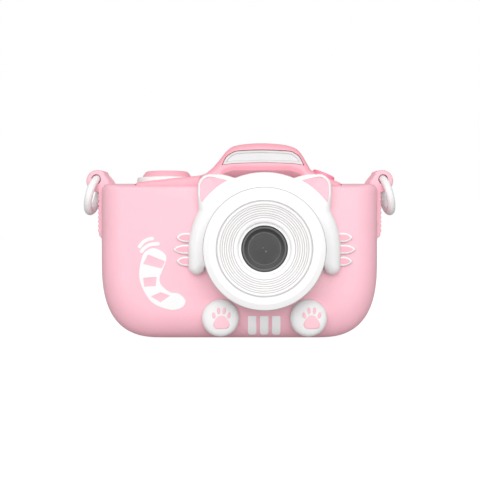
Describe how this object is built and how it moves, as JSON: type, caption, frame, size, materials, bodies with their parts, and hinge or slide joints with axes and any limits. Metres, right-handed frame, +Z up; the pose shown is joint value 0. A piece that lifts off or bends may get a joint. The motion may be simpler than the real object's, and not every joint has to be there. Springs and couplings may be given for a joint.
{
  "type": "kids digital camera",
  "caption": "Chunky child's compact camera: hard case with a flash hump in a pink silicone sleeve, cat-face lens surround, strap rings, screen and keys behind.",
  "frame": {"origin": "middle of the bounding box's base, on the surface that the camera stands on", "axes": "+Z up, the lens looks along -Y, +X is to the right of someone who faces the lens"},
  "size_m": [0.1166, 0.05, 0.0724],
  "materials": {
    "pink_silicone": "soft matte silicone",
    "white_silicone": "soft matte silicone",
    "pale_print": "matte inlay",
    "pink_shell": "satin moulded plastic",
    "pink_button": "satin moulded plastic",
    "white_plastic": "satin moulded plastic",
    "diffuser": "frosted plastic",
    "dark_glass": "polished dark window",
    "black_plastic": "moulded plastic",
    "circuit_board": "solder mask",
    "battery_wrap": "foil pouch",
    "steel": "plated steel"
  },
  "bodies": {
    "camera": {"silicone_sleeve": "pink_silicone", "cat_face_frame": "white_plastic", "ear_inlay_left": "pink_silicone", "ear_inlay_right": "pink_silicone", "whiskers_left": "white_silicone", "whiskers_right": "white_silicone", "paw_left": "white_silicone", "paw_right": "white_silicone", "paw_pad_left": "pink_silicone", "paw_pad_right": "pink_silicone", "belly_stripe_1": "pale_print", "belly_stripe_2": "pale_print", "belly_stripe_3": "pale_print", "tail_inlay": "white_silicone", "motion_mark_1": "white_silicone", "motion_mark_2": "white_silicone", "front_shell": "pink_shell", "rear_shell": "pink_shell", "hump_window": "diffuser", "flash_led_board": "circuit_board", "lens_barrel": "white_plastic", "lens_trim_ring": "white_plastic", "lens_window": "dark_glass", "front_camera_module": "black_plastic", "main_board": "circuit_board", "battery": "battery_wrap", "display_panel": "black_plastic", "screen_window": "dark_glass", "rear_camera_window": "dark_glass", "rear_camera_module": "black_plastic", "shutter_ring": "white_plastic", "shutter_switch": "black_plastic", "power_switch": "black_plastic", "keypad_board": "circuit_board", "speaker": "black_plastic", "usb_port": "steel", "card_socket": "steel", "case_screw_1": "steel", "case_screw_2": "steel", "case_screw_3": "steel", "case_screw_4": "steel"},
    "ring_left": {"strap_ring_left": "white_plastic"},
    "ring_right": {"strap_ring_right": "white_plastic"},
    "shutter": {"shutter_button": "pink_button"},
    "power": {"power_button": "pink_button"},
    "flap": {"port_cover": "pink_silicone"},
    "dpad_up": {"dpad_up": "white_plastic"},
    "dpad_down": {"dpad_down": "white_plastic"},
    "dpad_left": {"dpad_left": "white_plastic"},
    "dpad_right": {"dpad_right": "white_plastic"},
    "ok_button": {"ok_button": "white_plastic"},
    "menu_button": {"menu_button": "white_plastic"},
    "mode_button": {"mode_button": "white_plastic"}
  },
  "joints": [
    {"name": "ring_left_swing", "type": "hinge", "parent": "camera", "child": "ring_left", "pos_m": [-0.0536, 0.008, 0.0597], "axis": [0.1323, 0.9912, 0], "range_deg": [-8, 120]},
    {"name": "ring_right_swing", "type": "hinge", "parent": "camera", "child": "ring_right", "pos_m": [0.0536, 0.008, 0.0597], "axis": [0.1323, -0.9912, 0], "range_deg": [-8, 120]},
    {"name": "shutter_press", "type": "slide", "parent": "camera", "child": "shutter", "axis": [0, 0, -1], "range_m": [0, 0.0008], "stiffness_N_per_m": 600, "springref_m": -0.0002},
    {"name": "power_press", "type": "slide", "parent": "camera", "child": "power", "axis": [-0.3746, 0, -0.9272], "range_m": [0, 0.0005], "stiffness_N_per_m": 500, "springref_m": -0.0002},
    {"name": "flap_swing", "type": "hinge", "parent": "camera", "child": "flap", "pos_m": [0.0505, 0.0186, 0.0275], "axis": [0, 0, 1], "range_deg": [0, 100]},
    {"name": "dpad_up_press", "type": "slide", "parent": "camera", "child": "dpad_up", "axis": [0, -1, 0], "range_m": [0, 0.0005], "stiffness_N_per_m": 400, "springref_m": -0.0002},
    {"name": "dpad_down_press", "type": "slide", "parent": "camera", "child": "dpad_down", "axis": [0, -1, 0], "range_m": [0, 0.0005], "stiffness_N_per_m": 400, "springref_m": -0.0002},
    {"name": "dpad_left_press", "type": "slide", "parent": "camera", "child": "dpad_left", "axis": [0, -1, 0], "range_m": [0, 0.0005], "stiffness_N_per_m": 400, "springref_m": -0.0002},
    {"name": "dpad_right_press", "type": "slide", "parent": "camera", "child": "dpad_right", "axis": [0, -1, 0], "range_m": [0, 0.0005], "stiffness_N_per_m": 400, "springref_m": -0.0002},
    {"name": "ok_press", "type": "slide", "parent": "camera", "child": "ok_button", "axis": [0, -1, 0], "range_m": [0, 0.0005], "stiffness_N_per_m": 400, "springref_m": -0.0002},
    {"name": "menu_press", "type": "slide", "parent": "camera", "child": "menu_button", "axis": [0, -1, 0], "range_m": [0, 0.0005], "stiffness_N_per_m": 400, "springref_m": -0.0002},
    {"name": "mode_press", "type": "slide", "parent": "camera", "child": "mode_button", "axis": [0, -1, 0], "range_m": [0, 0.0005], "stiffness_N_per_m": 400, "springref_m": -0.0002}
  ]
}
